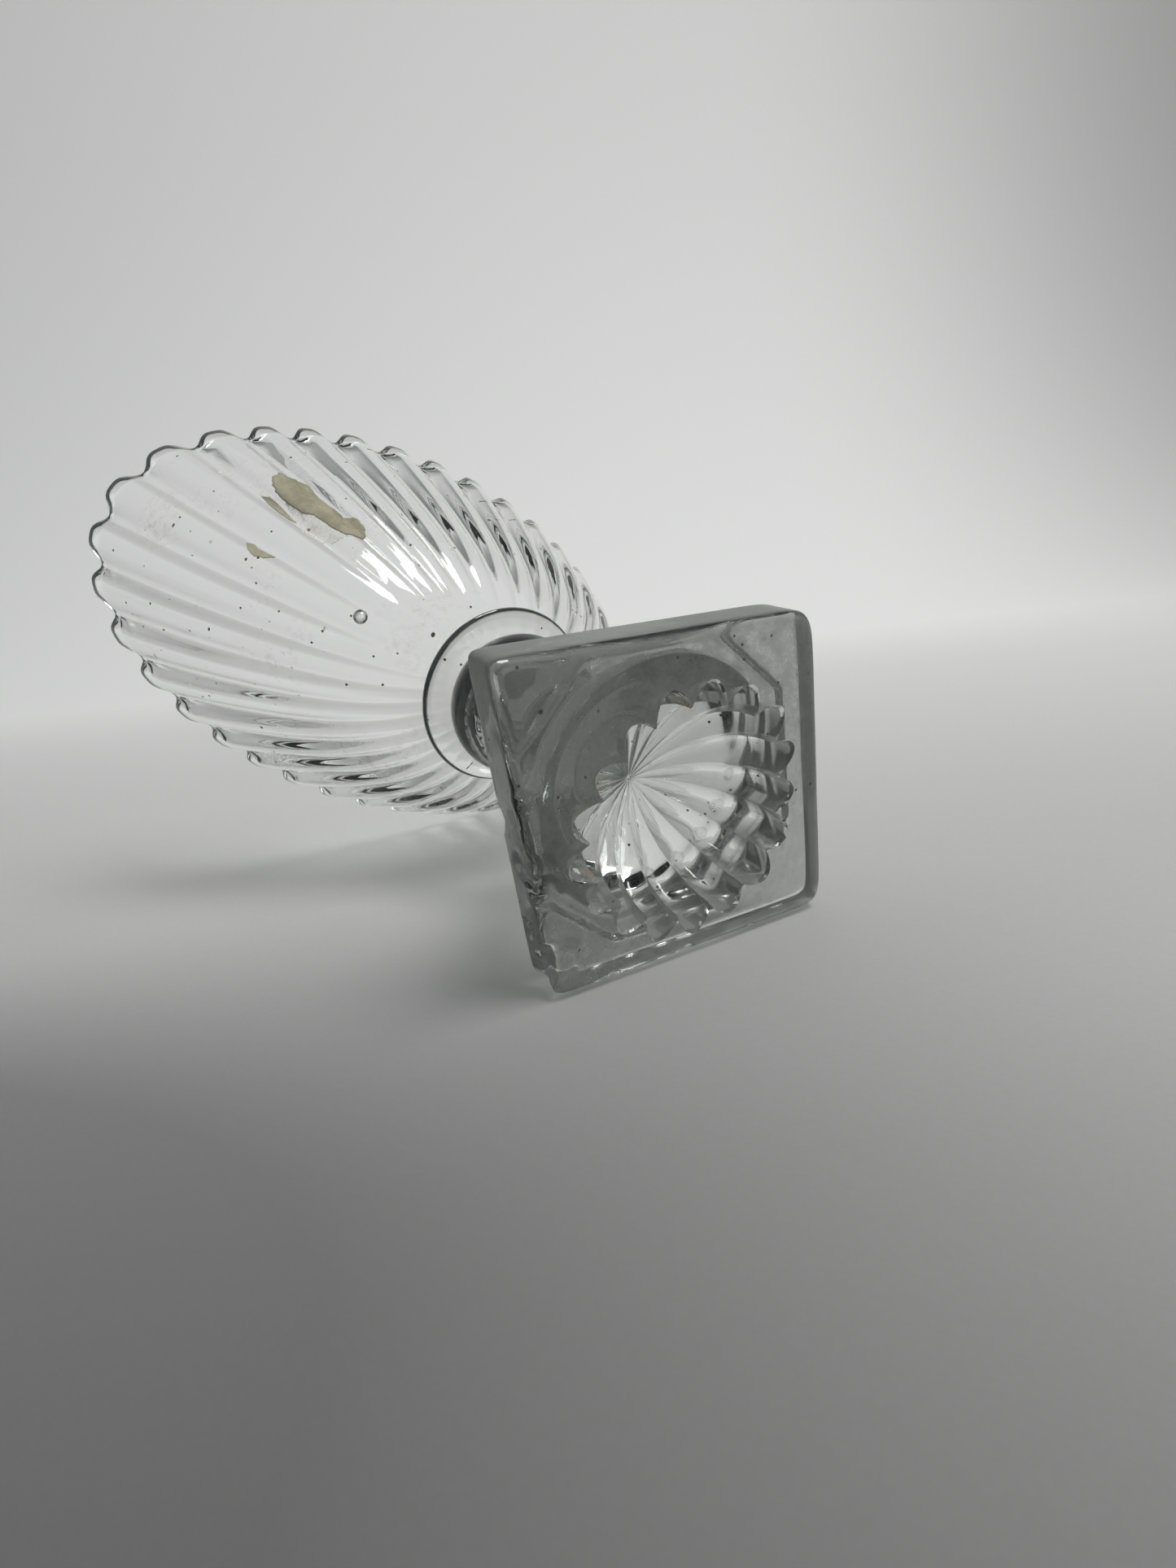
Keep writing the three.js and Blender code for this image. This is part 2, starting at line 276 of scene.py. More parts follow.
# %% [markdown]
# ## Chips, and the unevenness of a pressed surface
#
# The corner that the salt lies on has lost a few flakes of glass, and so has the edge beside it.
# A flake leaves a shallow shell-shaped scoop, so the points near its middle move in towards the
# foot, most at the middle, with a ripple. The rest of the foot is never quite flat either: the
# mould leaves slow waves of a few hundredths of a millimetre, which is what makes reflections in
# old glass swim.

# %% Waves and chips
def waves(points, size, seed):
    """Slow, even unevenness from -1 to 1: a sum of sines that run in scattered directions, each
    about a size long, with all the starts drawn from one seed."""
    draw = np.random.default_rng(seed)
    directions = draw.normal(size=(7, 3))
    directions /= np.linalg.norm(directions, axis=1)[:, None]
    lengths = size * draw.uniform(0.7, 1.6, 7)
    starts = draw.uniform(0, 2 * np.pi, 7)
    return np.sin(points @ (directions / lengths[:, None] * 2 * np.pi).T + starts).sum(-1) / 7


def scoop(points, middle, radius, depth, toward, seed):
    """Moves points nearer to middle than radius by depth in one direction: one less the square
    of their share of the radius, with a ripple so that no two flakes are alike."""
    away = np.linalg.norm(points - np.array(middle), axis=-1) / radius
    share = np.clip(1 - away ** 2, 0, 1)
    ripple = 1 + 0.35 * waves(points, radius * 0.8, seed)
    return points + (share * ripple * depth)[..., None] * np.array(toward, float)


inward = np.array([math.cos(-math.pi / 4), math.sin(-math.pi / 4), 0.35])
blunt = np.array([0.0, 24.6, 0.0])
sharp = np.array([-29.8, 0.0, 0.0])
big_flakes = ((0.10, 0.6, 3.0, 1.3, 3), (0.17, 3.2, 2.6, 0.9, 4), (0.34, 0.4, 2.2, 0.8, 5),
              (0.41, 1.6, 2.8, 0.7, 6), (0.52, 5.6, 2.0, 0.5, 7), (0.01, 3.0, 2.4, 0.9, 8),
              (0.63, 0.2, 1.4, 0.4, 9))      # share along the edge, height, radius, depth, seed
small_flakes = ((28.9, 2.3, 1.0, 0.4, 11), (14.0, 14.3, 1.2, 0.45, 12), (21.5, 8.0, 0.8, 0.3, 13),
                (6.0, 21.0, 1.1, 0.4, 14))   # x, y, radius, depth, seed
for along, height, radius, depth, seed in big_flakes:
    spot = blend(blunt, sharp, along) + np.array([0, 0, height])
    foot_rings = scoop(foot_rings, spot, radius, depth, inward, seed)
for x, y, radius, depth, seed in small_flakes:
    foot_rings = scoop(foot_rings, (x, y, 0.1), radius, depth, (-0.6, -0.7, 0.4), seed)
foot_rings[..., 2] += 0.05 * waves(foot_rings, 9, 21) * ease((26 - foot_rings[..., 2]) / 2)
foot = ring_mesh("foot_glass", foot_rings, [(*HOLLOW_CENTRE, HOLLOW_DEPTH + 0.1),
                                            (0, 0, FOOT_TOP + OVERLAP)])
foot.data.set_sharp_from_angle(angle=math.radians(40))
in_hollow = np.repeat(np.array(hollow_share + [0.0] * (len(foot_rings) - len(hollow_share))), AROUND)
attribute(foot, "hollow", np.append(in_hollow, [1.0, 0.0]))

# %% [markdown]
# ## Knop and collar
#
# Both were shaped on the spinning rod, so they are truly round. A profile turned round the stem
# is enough: the same rings, with one radius all the way.

# %% Turned pieces
def turned(name, profile, poles):
    """A solid of revolution: every profile pair becomes a round ring."""
    rings = np.array([flat_ring(r, z)[::4] for r, z in profile])
    return ring_mesh(name, rings, poles)


knop_profile = np.array([(7.2, FOOT_TOP - OVERLAP), (6.9, FOOT_TOP + 1.2), (6.35, FOOT_TOP + 3.4),
                         (7.2, FOOT_TOP + 6.0), (9.1, FOOT_TOP + 8.8), (KNOP_R, FOOT_TOP + 12.0),
                         (9.6, KNOP_TOP - 1.4), (8.8, KNOP_TOP + OVERLAP)])
knop = turned("knop_glass", smooth_profile(knop_profile, 40),
              [(0, 0, FOOT_TOP - OVERLAP), (0, 0, KNOP_TOP + OVERLAP)])

COLLAR_FROM, COLLAR_TO = KNOP_TOP - 0.02, BOWL_SEAT + 0.03
collar_profile = np.array([(8.9, COLLAR_FROM), (10.4, KNOP_TOP + 0.1), (12.2, KNOP_TOP + 0.45),
                           (COLLAR_R, KNOP_TOP + 0.9), (12.3, BOWL_SEAT - 0.35), (11.0, COLLAR_TO)])
collar = turned("collar_glass", smooth_profile(collar_profile, 26), [(0, 0, COLLAR_FROM), (0, 0, COLLAR_TO)])

# %% [markdown]
# ## The ribbed bowl
#
# The bowl was blown into a ribbed mould and pulled into an oval, and its rim was then cut and
# polished. Seen from above it is an ellipse; from the side it is close to a parabola. Each point
# of it comes from two numbers: a level, from the seat to the rim, and an angle round the oval.
# The ribs are the same distance apart along the rim, apart from small slips of the mould, and
# they spread at the ends where the glass was pulled. So the ribs are counted along the rim and
# not by the angle.

# %% Where the ribs stand
RIBS = 35
crest_degrees = np.array([109.2, 116.9, 125.9, 135.9, 146.9, 159.8, 173.0, 188.4, 203.9, 217.0,
                          226.9, 235.2, 243.6, 252.2, 260.3, 268.5, 277.0])
far_count = RIBS - len(crest_degrees) + 1
fine = np.linspace(crest_degrees[-1], crest_degrees[0] + 360, 2000)
oval_speed = np.hypot(BOWL_HALF[0] * np.sin(np.radians(fine)), BOWL_HALF[1] * np.cos(np.radians(fine)))
oval_speed /= 1 + 0.12 * np.cos(np.radians(fine)) ** 8
travelled = np.concatenate([[0], np.cumsum((oval_speed[1:] + oval_speed[:-1]) / 2)])
far_crests = np.interp(np.linspace(0, travelled[-1], far_count + 1)[1:], travelled, fine)
crests = np.concatenate([crest_degrees, far_crests])


def rib_phase(degrees):
    """How many ribs have gone by at an angle: it counts up by one from each crest to the next."""
    wrapped = (degrees - crests[0]) % 360 + crests[0]
    return np.interp(wrapped, crests, np.arange(len(crests)))


print("ribs:", RIBS, "of which", far_count, "are spaced evenly on the far side")

# %% Two surfaces of the bowl
PER_RIB = 15                  # points across one rib
samples = np.interp(np.arange(RIBS * PER_RIB) / PER_RIB, np.arange(len(crests)), crests)
looped = np.concatenate([samples[-6:] - 360, samples, samples[:6] + 360])
samples = np.convolve(looped, np.ones(13) / 13, "valid")
angle = np.radians(samples)
phase = rib_phase(samples)


def groove_of(count):
    """0 on a crest and 1 in a groove: a sine with its low part stretched out by a power, so
    that the lobes are broad and the grooves between them narrow."""
    return ((1 - np.cos(2 * np.pi * count)) / 2) ** 1.9


groove = groove_of(phase)


SCALLOP = 1.3                 # the rim dips by this in each groove


def bowl_points(level, theta, groove_here, half, height, sink):
    """A point of the oval bowl. Across: the half sizes less the sink, times cosine and sine.
    Up: the height, and a rise of the ends over the sides. Then the lean, the rim's dip in a
    groove, and the turn."""
    x = (half[0] - sink) * np.cos(theta)
    y = (half[1] - sink) * np.sin(theta) + LEAN * level
    z = height + RIM_RISE * np.cos(2 * theta) * level ** 2 - SCALLOP * level ** 10 * groove_here
    c, s = math.cos(BOWL_TURN), math.sin(BOWL_TURN)
    return np.stack([c * x - s * y, s * x + c * y, z + 0 * x], -1)


def outside(level, theta, groove_here):
    """Outer surface: half sizes go in a line from seat to rim, the height as the level to 2.08."""
    half = [blend(SEAT_HALF[k], BOWL_HALF[k], level) for k in (0, 1)]
    depth = 0.15 + 1.45 * ease((level - 0.16) / 0.84)
    return bowl_points(level, theta, groove_here, half, BOWL_SEAT + BOWL_HEIGHT * level ** 2.08,
                       depth * groove_here)


def inside(level, theta, groove_here):
    """Inner surface: it starts from a point on the floor, and is the wall's thickness inside
    the outer one at the rim."""
    half = [BOWL_HALF[k] * level for k in (0, 1)]
    depth = 0.3 * ease((level - 0.4) / 0.6)
    height = BOWL_SEAT + FLOOR + (BOWL_HEIGHT - FLOOR) * level ** 2.3
    return bowl_points(level, theta, groove_here, half, height, WALL * level + depth * groove_here)


# %% Build the bowl
out_levels = np.linspace(0, 1, 62) ** 0.92
in_levels = np.linspace(1, 0, 50)[:-1] ** 0.95
outer_rings = np.array([outside(v, angle, groove) for v in out_levels])
inner_rings = np.array([inside(v, angle, groove) for v in in_levels])
lip = [blend(outer_rings[-1], inner_rings[0], (1 - math.cos(t)) / 2)
       + np.array([0, 0, 0.25 * math.sin(t) ** 0.5]) for t in np.linspace(0, math.pi, 8)[1:-1]]
bowl_rings = np.concatenate([outer_rings, np.array(lip), inner_rings])
swell = 0.06 * waves(bowl_rings, 14, 31) * ease((bowl_rings[..., 2] - BOWL_SEAT) / 6)
bowl_rings += swell[..., None] * np.array([0.5, 0.5, 0.7])
BOWL_FROM = BOWL_SEAT - 0.02
bowl_rings[0, :, 2] = BOWL_FROM
bowl = ring_mesh("bowl_glass", bowl_rings, [(0, 0, BOWL_FROM), (0, 0, BOWL_SEAT + FLOOR)])

# %% [markdown]
# ## What is left of a label
#
# A paper label was once pasted outside the bowl and then soaked or scratched off. A large torn
# scrap of it is left, with a patch of dried paste beside it, and two small bits. Paper keeps to
# the glass, so each scrap is laid on the bowl's own surface: its outline is given as levels and
# angles on the bowl, its edge is made ragged, and rings shrink from the edge to its middle.

# %% Scraps laid on the bowl
def on_bowl(level, degrees, lift):
    """Points on the outside of the bowl, lifted off along the surface's own facing direction,
    which is the cross product of its slopes along the level and round the oval."""
    def at(v, d):
        return outside(v[:, None], np.radians(d)[:, None], groove_of(rib_phase(d))[:, None])[:, 0]
    step = 1e-3
    here = at(level, degrees)
    up = at(level + step, degrees) - here
    round_it = at(level, degrees + math.degrees(step)) - here
    facing = np.cross(round_it, up)
    facing /= np.linalg.norm(facing, axis=1)[:, None]
    return here + facing * lift


def scrap(name, outline, lift, thickness, ragged, seed, around=220):
    """A thin closed sheet on the bowl. Its edge is the outline with every distance from the
    middle made a little longer or shorter, by a random share smoothed over five points. Rings at
    shares of that edge run from the middle out over the top, and back under it."""
    corners = np.array(outline)
    t = np.linspace(0, len(corners), around, endpoint=False)
    k = t.astype(int)
    edge = blend(corners[k], corners[(k + 1) % len(corners)], (t - k)[:, None])
    rough = np.random.default_rng(seed).normal(size=around + 4)
    rough = np.convolve(rough, [0.15, 0.2, 0.3, 0.2, 0.15], "valid")
    middle = corners.mean(0)
    edge = middle + (edge - middle) * (1 + ragged * rough)[:, None]
    shares = np.array([0.12, 0.3, 0.5, 0.68, 0.82, 0.92, 1.0])
    top = [on_bowl(*(middle + (edge - middle) * v).T, lift + thickness) for v in shares]
    under = [on_bowl(*(middle + (edge - middle) * v).T, lift) for v in shares[::-1]]
    poles = [on_bowl(middle[:1], middle[1:], height)[0] for height in (lift + thickness, lift)]
    return ring_mesh(name, np.array(top + under), poles)


label_large = scrap("label_paper_large", [
    (0.815, 218.5), (0.816, 221.8), (0.78, 223.1), (0.734, 222.2), (0.686, 222.8), (0.64, 222.5),
    (0.617, 224.9), (0.57, 224.5), (0.549, 220.7), (0.56, 217.2), (0.598, 215.8), (0.65, 215.3),
    (0.675, 213.4), (0.718, 213.2), (0.758, 213.8), (0.791, 215.3)], 0.05, 0.11, 0.045, 41)
paste_film = scrap("label_paste_film", [
    (0.73, 213.8), (0.70, 216.2), (0.655, 217.6), (0.60, 217.2), (0.555, 217.4), (0.551, 213.5),
    (0.573, 210.3), (0.604, 208.2), (0.65, 208.6), (0.695, 210.4)], 0.01, 0.03, 0.08, 42)
label_sliver = scrap("label_paper_sliver", [
    (0.785, 210.5), (0.768, 211.9), (0.741, 211.7), (0.706, 211.0), (0.663, 209.9), (0.685, 209.3),
    (0.72, 209.3), (0.751, 209.6)], 0.03, 0.10, 0.05, 43)
label_small = scrap("label_paper_small", [
    (0.679, 193.7), (0.668, 194.9), (0.651, 194.0), (0.627, 194.3), (0.607, 194.6), (0.615, 192.1),
    (0.633, 190.8), (0.656, 191.7)], 0.03, 0.10, 0.05, 44)

# %% [markdown]
# One air bubble, a seed, is caught in the wall. It is a flattened ball of air, about 2 mm
# across, just under the outside.

# %% Seed bubble
def ball(name, middle, radius, flat_along, flatness, levels=20, around=40):
    """A ball from rings of latitude: the sine of the tilt is a ring's size, and its cosine times
    the flatness is how far it lies along one direction."""
    tilt = np.linspace(0, np.pi, levels + 2)[1:-1][:, None, None]
    round_it = (np.arange(around) * 2 * np.pi / around)[None, :, None]
    side = np.cross(flat_along, [0.0, 0.0, 1.0])
    side /= np.linalg.norm(side)
    other = np.cross(flat_along, side)
    rings = middle + radius * (np.sin(tilt) * (np.cos(round_it) * side + np.sin(round_it) * other)
                               + flatness * np.cos(tilt) * flat_along)
    reach = radius * flatness * flat_along
    return ring_mesh(name, rings, [middle + reach, middle - reach])


BUBBLE_AT = (np.array([0.325]), np.array([190.5]))      # level and degrees on the bowl
skin_point, deep_point = (on_bowl(*BUBBLE_AT, lift)[0] for lift in (0.0, -1.0))
bubble = ball("seed_bubble", deep_point, 0.95, skin_point - deep_point, 0.7)

# %% [markdown]
# ## Camera
#
# The camera stands very close, under the level of the foot, and looks along the stem towards the
# bowl, a little rolled. A phone's wide lens does this: near things look large, and the ribs seem
# to swirl, although they run straight down the bowl.

# %% Camera
camera_data = bpy.data.cameras.new("close_camera")
camera_data.lens = 22.42
camera_data.sensor_width = 36.0
camera_data.clip_start = 0.005
camera_data.clip_end = 20.0
camera = bpy.data.objects.new("close_camera", camera_data)
bpy.context.scene.collection.objects.link(camera)
cam_right = np.array([0.6413, -0.5516, -0.5334])
cam_back = -np.array([0.6381, -0.0027, 0.7699])
cam_up = np.cross(cam_back, cam_right)
axes = np.stack([cam_right, cam_up / np.linalg.norm(cam_up), cam_back], -1)
place = np.eye(4)
place[:3, :3] = axes
place[:3, 3] = np.array([-76.67, 4.41, -76.32]) * MM
camera.matrix_world = Matrix(place.tolist())
bpy.context.scene.camera = camera
print("camera stands", round(float(np.linalg.norm(place[:3, 3])) / MM), "mm from the foot")

# %% [markdown]
# ## Table and backdrop
#
# The salt rests on one lower edge of its foot and on its rim, so the table is the plane through
# those, tilted in the salt's own frame. One sheet of card makes table and backdrop: flat under
# the salt, then curving up, so no line shows where one ends. It is seen from its upper side
# only, and is clear from behind, because the salt is also looked at from below.

# %% Sweep of card
table_up = np.array([-0.628, -0.749, 0.210])
table_up /= np.linalg.norm(table_up)
table_away = -cam_back - (-cam_back @ table_up) * table_up
table_away /= np.linalg.norm(table_away)
table_side = np.cross(table_away, table_up)
CARD_GAP = 0.35               # mm under the foot's corner, so the rounded edge does not cut the card
table_point = np.array([FOOT_HALF[0], 0, 0]) - table_up * CARD_GAP


CARD_FLAT, CARD_BEND = 260.0, 320.0      # mm of flat card behind the salt, and the curve's radius


def sweep(u, v):
    """Card at a distance u to the side and v along its length: flat, then a quarter circle, and
    straight up after it."""
    bend = np.clip((v - CARD_FLAT) / CARD_BEND, 0, math.pi / 2)
    over = np.clip(v - CARD_FLAT - CARD_BEND * math.pi / 2, 0, None)
    away = np.minimum(v, CARD_FLAT) + CARD_BEND * np.sin(bend)
    up = CARD_BEND * (1 - np.cos(bend)) + over
    return (table_point + u[..., None] * table_side + away[..., None] * table_away
            + up[..., None] * table_up)


us = np.linspace(-1500, 1500, 81)
vs = np.concatenate([np.linspace(-900, 250, 60), np.linspace(262, 2200, 120)])
grid_u, grid_v = np.meshgrid(us, vs)
card = sweep(grid_u, grid_v).reshape(-1, 3) * MM
rows, cols = len(vs), len(us)
corner = (np.arange(rows - 1)[:, None] * cols + np.arange(cols - 1)).ravel()
faces = np.stack([corner, corner + 1, corner + cols + 1, corner + cols], -1)
floor_mesh = bpy.data.meshes.new("card_sweep")
floor_mesh.from_pydata(card, [], faces.tolist())
floor_mesh.shade_smooth()
floor = bpy.data.objects.new("card_sweep", floor_mesh)
bpy.context.scene.collection.objects.link(floor)
for name, values in (("sideways", grid_u), ("lengthwise", grid_v)):
    attribute(floor, name, values * MM)
normal_up = np.cross(card[1] - card[0], card[cols] - card[0])
print("card faces up:", bool(normal_up @ table_up > 0))

# %% [markdown]
# ## Materials
#
# One helper adds a node with its settings and its links, and one turns a colour written as hex
# into the linear numbers that the shader wants.

# %% Helpers for materials
GLASS_IOR = 1.52


def linear(hex_colour):
    """sRGB hex to linear: the low end is a straight line, the rest a power of 2.4."""
    parts = [int(hex_colour[i:i + 2], 16) / 255 for i in (0, 2, 4)]
    return [p / 12.92 if p <= 0.04045 else ((p + 0.055) / 1.055) ** 2.4 for p in parts] + [1.0]


def new_material(name):
    """An empty node material and its tree."""
    material = bpy.data.materials.new(name)
    material.use_nodes = True
    material.node_tree.nodes.clear()
    return material, material.node_tree


def add(tree, kind, settings=None, **inputs):
    """Adds a node. Settings are its own properties; inputs are values or sockets to link from.
    An input named i0, i1 ... goes by number, and any other by its name."""
    node = tree.nodes.new(kind)
    for key, value in (settings or {}).items():
        setattr(node, key, value)
    for key, value in inputs.items():
        numbered = key[0] == "i" and key[1:].isdigit()
        socket = node.inputs[int(key[1:]) if numbered else key.replace("_", " ")]
        if isinstance(value, bpy.types.NodeSocket):
            tree.links.new(value, socket)
        else:
            socket.default_value = value
    return node


def math_node(tree, operation, a, b=0.0, c=0.0, clamp=False):
    """One sum of two values, or of three for MULTIPLY_ADD, which is a times b plus c."""
    settings = {"operation": operation, "use_clamp": clamp}
    return add(tree, "ShaderNodeMath", settings, i0=a, i1=b, i2=c).outputs[0]


def ramp(tree, value, low, high, to_low=0.0, to_high=1.0):
    """Takes low..high to to_low..to_high, smoothly, and holds outside."""
    return add(tree, "ShaderNodeMapRange", {"interpolation_type": "SMOOTHSTEP"}, Value=value,
               From_Min=low, From_Max=high, To_Min=to_low, To_Max=to_high).outputs[0]


def noise(tree, where, per_metre, detail=3.0, rough=0.55, distortion=0.0):
    """Cloudy noise with so many blobs to the metre."""
    return add(tree, "ShaderNodeTexNoise", None, Vector=where, Scale=per_metre, Detail=detail,
               Roughness=rough, Distortion=distortion).outputs[0]

# %% [markdown]
# ### Lead glass
#
# Old table glass is lead glass, with an index a little over 1.5, a faint grey tint through its
# thickness, and a surface that was once fire-polished. Years of use leave dust, fine scratches
# and dull patches. The shader is one glass for all, with the state of the surface laid over it:
# roughness for wear, bump for the mould's skin, and dark specks of dirt. On the foot a grey film
# lies on the underside and the plinth. It is partly worn frosting and partly painted shade: its
# dark grey stands for the dark reflections in the thick slab.
#
# Light that goes through glass to the table would need very many samples, so shadow rays see the
# glass as tinted and thin, and darker where it is seen edge-on. The salt keeps a soft shadow, as
# real clear glass does.

# %% Lead glass
def lead_glass(name, tint, roughness, grey, bump_mm=0.02, specks=0.5, foot_marks=False,
               film_and_painted_shade_colour="B9B6AC"):
    """Glass with a smear of dust, specks and a skin; grey is the density of its absorption, to
    the metre. Foot marks add wear on the plinth, stains in the hollow, and a grey film that is
    partly worn frosting and partly painted shade."""
    material, tree = new_material(name)
    where = add(tree, "ShaderNodeTexCoord").outputs["Object"]
    smear = ramp(tree, noise(tree, where, 90, 5, 0.6), 0.52, 0.72)
    fine_smear = ramp(tree, noise(tree, where, 900, 3, 0.7), 0.45, 0.75)
    dull = math_node(tree, "MULTIPLY", smear, fine_smear)
    skin = noise(tree, where, 160, 2, 0.5)
    rough = math_node(tree, "MULTIPLY_ADD", dull, 0.10, roughness)
    if foot_marks:
        normal = add(tree, "ShaderNodeNewGeometry").outputs["Normal"]
        split = add(tree, "ShaderNodeSeparateXYZ", None, Vector=where)
        facing = add(tree, "ShaderNodeSeparateXYZ", None, Vector=normal)
        height = split.outputs["Z"]
        on_plinth = ramp(tree, height, 0.0075, 0.0066)
        upward = ramp(tree, facing.outputs["Z"], 0.6, 0.9)
        cast = math_node(tree, "MULTIPLY", on_plinth, upward)
        level_side = ramp(tree, math_node(tree, "ABSOLUTE", facing.outputs["Z"]), 0.5, 0.2)
        side_skin = math_node(tree, "MULTIPLY", level_side, ramp(tree, height, 0.0075, 0.0066))
        crackle = add(tree, "ShaderNodeTexVoronoi", {"feature": "DISTANCE_TO_EDGE"}, Vector=where,
                      Scale=620.0).outputs[0]
        cell = ramp(tree, crackle, 0.0, 0.35)
        grain = noise(tree, where, 1500, 4, 0.6)
        mottle = math_node(tree, "ADD", math_node(tree, "MULTIPLY", cell, 0.5), grain)
        rough = math_node(tree, "ADD", rough, math_node(tree, "MULTIPLY", cast, 0.22))
        rough = math_node(tree, "ADD", rough, math_node(tree, "MULTIPLY", side_skin, 0.16))
    bump = add(tree, "ShaderNodeBump", None, Strength=1.0, Distance=bump_mm * MM, Height=skin)
    if foot_marks:
        bump = add(tree, "ShaderNodeBump", None, Distance=0.25 * MM, Height=mottle,
                   Strength=math_node(tree, "MULTIPLY", cast, 0.9), Normal=bump.outputs[0])
    glass = add(tree, "ShaderNodeBsdfPrincipled", None, Base_Color=linear(tint), Roughness=rough, IOR=GLASS_IOR,
                Normal=bump.outputs[0])
    glass.inputs["Transmission Weight"].default_value = 1.0
    dirt_colour = linear("4A453C")
    speck = None
    for per_metre, dot_size, share in ((260.0, 0.07, 0.05 + 0.1 * specks), (640.0, 0.11, 0.05 + 0.22 * specks)):
        cells = add(tree, "ShaderNodeTexVoronoi", {"feature": "F1"}, Vector=where, Scale=per_metre)
        dot = ramp(tree, cells.outputs["Distance"], dot_size * 1.3, dot_size * 0.7)
        chance = add(tree, "ShaderNodeSeparateColor", None, Color=cells.outputs["Color"]).outputs[0]
        some = ramp(tree, chance, 1.0 - share, 1.01 - share)
        dots = math_node(tree, "MULTIPLY", dot, some)
        speck = dots if speck is None else math_node(tree, "MAXIMUM", speck, dots)
    dust_haze_and_painted_shade = math_node(tree, "MULTIPLY", dull, 0.30)
    if foot_marks:
        # Partly painted shade: the grey film on the underside, heavier towards -X, and on the plinth's top and sides is
        # worn frosting, made dark grey to stand for the slab's dark reflections.
        under = math_node(tree, "MULTIPLY", ramp(tree, height, 0.0009, 0.0003),
                          ramp(tree, facing.outputs["Z"], -0.6, -0.9))
        ground_film_and_painted_shade = math_node(tree, "MULTIPLY", under,
                           ramp(tree, split.outputs["X"], 0.026, -0.006, 0.26, 0.80))
        cloud = ramp(tree, noise(tree, where, 420, 8, 0.78), 0.36, 0.64, 0.7, 1.0)
        ground_film_and_painted_shade = math_node(tree, "MULTIPLY", ground_film_and_painted_shade, cloud)
        skin_film_and_painted_shade = math_node(tree, "MULTIPLY", math_node(tree, "MAXIMUM", side_skin, cast), 0.45)
        dust_haze_and_painted_shade = math_node(tree, "ADD", dust_haze_and_painted_shade, math_node(tree, "MAXIMUM", ground_film_and_painted_shade, skin_film_and_painted_shade), clamp=True)
    # The film's colour is pale dust on the bowl. On the foot, its dark grey is partly painted shade.
    film = add(tree, "ShaderNodeBsdfPrincipled", None, Base_Color=linear(film_and_painted_shade_colour), Roughness=0.8)
    dirt = add(tree, "ShaderNodeBsdfPrincipled", None, Base_Color=dirt_colour, Roughness=0.9)
    mixed = add(tree, "ShaderNodeMixShader", None, i0=dust_haze_and_painted_shade, i1=glass.outputs[0], i2=film.outputs[0])
    mixed = add(tree, "ShaderNodeMixShader", None, i0=speck, i1=mixed.outputs[0], i2=dirt.outputs[0])
    if foot_marks:
        flag = add(tree, "ShaderNodeAttribute", {"attribute_name": "hollow"}).outputs["Fac"]
        amber_side = ramp(tree, split.outputs["X"], 0.004, -0.006)
        patch = ramp(tree, noise(tree, where, 330, 4, 0.6, 0.6), 0.52, 0.66)
        amount = math_node(tree, "MULTIPLY", math_node(tree, "MULTIPLY", flag, amber_side), patch)
        amber = add(tree, "ShaderNodeBsdfPrincipled", None, Base_Color=linear("B39B6E"), Roughness=0.6)
        amber.inputs["Transmission Weight"].default_value = 0.45
        mixed = add(tree, "ShaderNodeMixShader", None, i0=math_node(tree, "MULTIPLY", amount, 0.55),
                    i1=mixed.outputs[0], i2=amber.outputs[0])
    edge_on = add(tree, "ShaderNodeLayerWeight", None, Blend=0.4).outputs["Facing"]
    veil = add(tree, "ShaderNodeMix", {"data_type": "RGBA"}, i0=edge_on, i6=linear("E9EAE9"), i7=linear("7A7C7B"))
    shadow = add(tree, "ShaderNodeBsdfTransparent", None, Color=veil.outputs[2])
    shadow_ray = add(tree, "ShaderNodeLightPath").outputs["Is Shadow Ray"]
    last = add(tree, "ShaderNodeMixShader", None, i0=shadow_ray, i1=mixed.outputs[0], i2=shadow.outputs[0])
    body = add(tree, "ShaderNodeVolumeAbsorption", None, Color=linear("BABFBC"), Density=grey)
    add(tree, "ShaderNodeOutputMaterial", None, Surface=last.outputs[0], Volume=body.outputs[0])
    return material


blown = lead_glass("blown_lead_glass", "FFFFFF", 0.0, 10.0)
# The pressed glass's dark grey film is partly dust and frosting and partly painted shade, standing for the slab's dark
# reflections.
pressed = lead_glass("pressed_lead_glass", "FCFDFC", 0.01, 60.0, bump_mm=0.03, specks=0.7, foot_marks=True,
                     film_and_painted_shade_colour="7C7F7C")
for piece, material in ((foot, pressed), (knop, pressed), (collar, blown), (bowl, blown)):
    piece.data.materials.append(material)

# %% [markdown]
# ### Paper, paste and the bubble
#
# The paper is old wood-pulp label stock: greyed beige, fibrous and matt, thin enough that some
# light comes through. The paste is a whitish crust, cracked and mostly clear. The bubble is air,
# so from inside the glass its index is one over that of glass.

